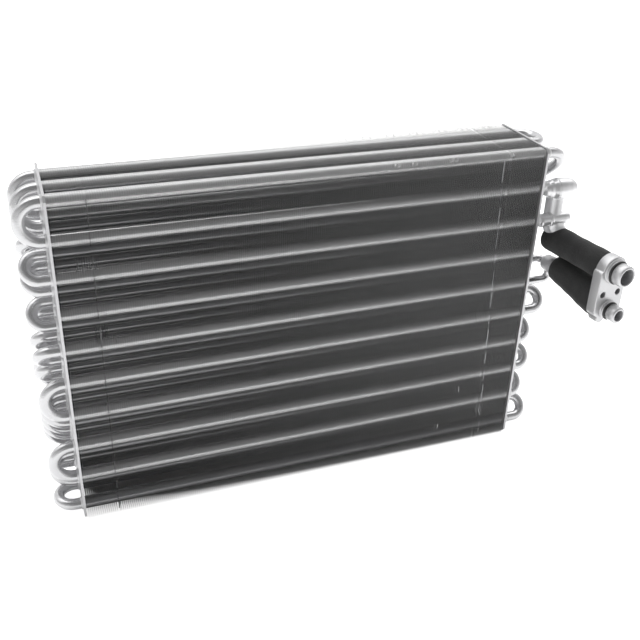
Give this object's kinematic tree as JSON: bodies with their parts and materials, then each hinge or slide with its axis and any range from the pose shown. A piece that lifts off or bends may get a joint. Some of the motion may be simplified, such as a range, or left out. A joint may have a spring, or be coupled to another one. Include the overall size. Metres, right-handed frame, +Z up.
{
  "type": "evaporator core",
  "caption": "Finned evaporator core with hairpin tubes, return bends and a forward connection flange on foam-wrapped pipes.",
  "frame": {"origin": "middle of the core's underside, where the end plates stand", "axes": "+X along the core to the pipes, +Y from the front face to the back, +Z up"},
  "size_m": [0.4018, 0.1297, 0.2413],
  "materials": {
    "tube": "satin drawn tube",
    "fin": "thin rolled sheet",
    "plate": "rolled sheet",
    "flange": "machined",
    "foam": "matt closed-cell foam tape",
    "seal": "smooth rubber"
  },
  "bodies": {
    "root": {"connection_flange": "flange", "distributor": "tube", "fin_pack": "fin", "hairpin_01": "tube", "hairpin_02": "tube", "hairpin_03": "tube", "hairpin_04": "tube", "hairpin_05": "tube", "hairpin_06": "tube", "hairpin_07": "tube", "hairpin_08": "tube", "hairpin_09": "tube", "hairpin_10": "tube", "hairpin_11": "tube", "hairpin_12": "tube", "hairpin_13": "tube", "hairpin_14": "tube", "hairpin_15": "tube", "hairpin_16": "tube", "hairpin_17": "tube", "hairpin_18": "tube", "hairpin_19": "tube", "hairpin_20": "tube", "hairpin_21": "tube", "hairpin_22": "tube", "left_end_plate": "plate", "liquid_foam_wrap": "foam", "liquid_pipe": "tube", "liquid_ring": "seal", "lower_feed_tube": "tube", "lower_outlet_tube": "tube", "outlet_foam_wrap": "foam", "outlet_pipe": "tube", "outlet_ring": "seal", "return_bend_01": "tube", "return_bend_02": "tube", "return_bend_03": "tube", "return_bend_04": "tube", "return_bend_05": "tube", "return_bend_06": "tube", "return_bend_07": "tube", "return_bend_08": "tube", "return_bend_09": "tube", "return_bend_10": "tube", "return_bend_11": "tube", "return_bend_12": "tube", "return_bend_13": "tube", "return_bend_14": "tube", "return_bend_15": "tube", "return_bend_16": "tube", "return_bend_17": "tube", "return_bend_18": "tube", "return_bend_19": "tube", "return_bend_20": "tube", "right_end_plate": "plate", "upper_feed_tube": "tube", "upper_outlet_tube": "tube"}
  },
  "joints": []
}
